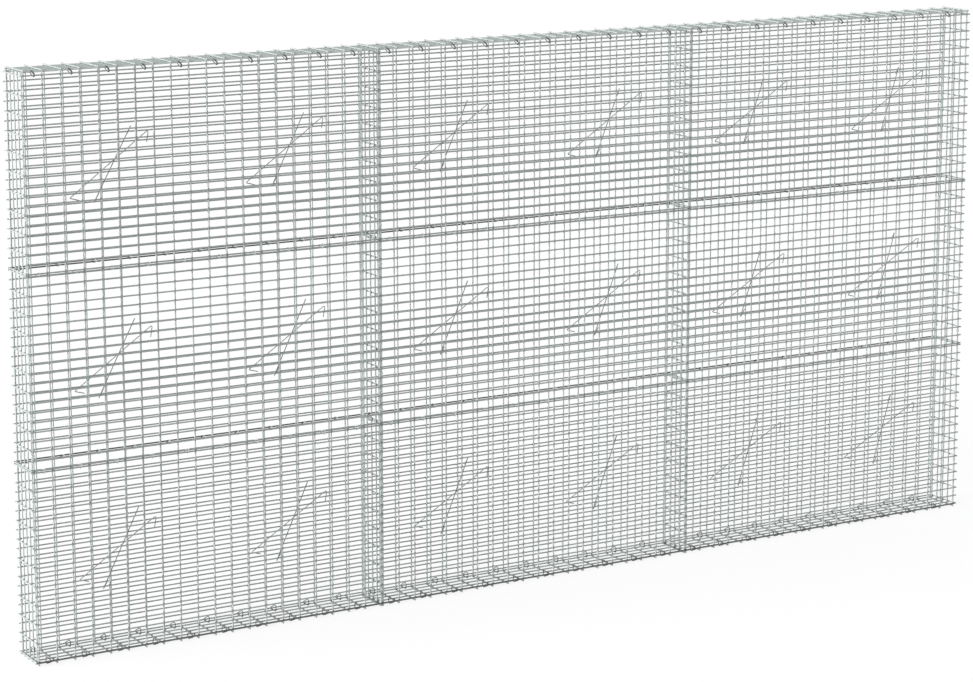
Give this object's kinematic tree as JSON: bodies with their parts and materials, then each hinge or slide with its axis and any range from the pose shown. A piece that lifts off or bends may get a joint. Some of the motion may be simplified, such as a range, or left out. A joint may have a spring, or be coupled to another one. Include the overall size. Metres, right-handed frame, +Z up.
{
  "type": "gabion wall",
  "caption": "Free-standing wall of empty welded mesh gabion baskets in bays and tiers, with dividers, base, covers and hooked ties across, ready for stone.",
  "frame": {"origin": "centre of the wall's footprint, on the ground", "axes": "+X along the wall, +Y through it towards the back, +Z up; the front faces -Y"},
  "size_m": [6.057, 0.2512, 3.0706],
  "materials": {
    "galvanised_mesh": "hot-dip zinc, dull satin",
    "galvanised_tie": "drawn zinc wire, satin"
  },
  "bodies": {
    "root": {"front_panel_bay1_tier1": "galvanised_mesh", "front_panel_bay1_tier2": "galvanised_mesh", "front_panel_bay1_tier3": "galvanised_mesh", "front_panel_bay2_tier1": "galvanised_mesh", "front_panel_bay2_tier2": "galvanised_mesh", "front_panel_bay2_tier3": "galvanised_mesh", "front_panel_bay3_tier1": "galvanised_mesh", "front_panel_bay3_tier2": "galvanised_mesh", "front_panel_bay3_tier3": "galvanised_mesh", "back_panel_bay1_tier1": "galvanised_mesh", "back_panel_bay1_tier2": "galvanised_mesh", "back_panel_bay1_tier3": "galvanised_mesh", "back_panel_bay2_tier1": "galvanised_mesh", "back_panel_bay2_tier2": "galvanised_mesh", "back_panel_bay2_tier3": "galvanised_mesh", "back_panel_bay3_tier1": "galvanised_mesh", "back_panel_bay3_tier2": "galvanised_mesh", "back_panel_bay3_tier3": "galvanised_mesh", "left_end_panel_tier1": "galvanised_mesh", "left_end_panel_tier2": "galvanised_mesh", "left_end_panel_tier3": "galvanised_mesh", "divider1_panel_tier1": "galvanised_mesh", "divider1_panel_tier2": "galvanised_mesh", "divider1_panel_tier3": "galvanised_mesh", "divider2_panel_tier1": "galvanised_mesh", "divider2_panel_tier2": "galvanised_mesh", "divider2_panel_tier3": "galvanised_mesh", "right_end_panel_tier1": "galvanised_mesh", "right_end_panel_tier2": "galvanised_mesh", "right_end_panel_tier3": "galvanised_mesh", "base_panel_bay1": "galvanised_mesh", "base_panel_bay2": "galvanised_mesh", "base_panel_bay3": "galvanised_mesh", "cover_panel_bay1": "galvanised_mesh", "cover_panel_bay2": "galvanised_mesh", "cover_panel_bay3": "galvanised_mesh", "tie_wires_bay1_tier1": "galvanised_tie", "tie_wires_bay1_tier2": "galvanised_tie", "tie_wires_bay1_tier3": "galvanised_tie", "tie_wires_bay2_tier1": "galvanised_tie", "tie_wires_bay2_tier2": "galvanised_tie", "tie_wires_bay2_tier3": "galvanised_tie", "tie_wires_bay3_tier1": "galvanised_tie", "tie_wires_bay3_tier2": "galvanised_tie", "tie_wires_bay3_tier3": "galvanised_tie"}
  },
  "joints": []
}
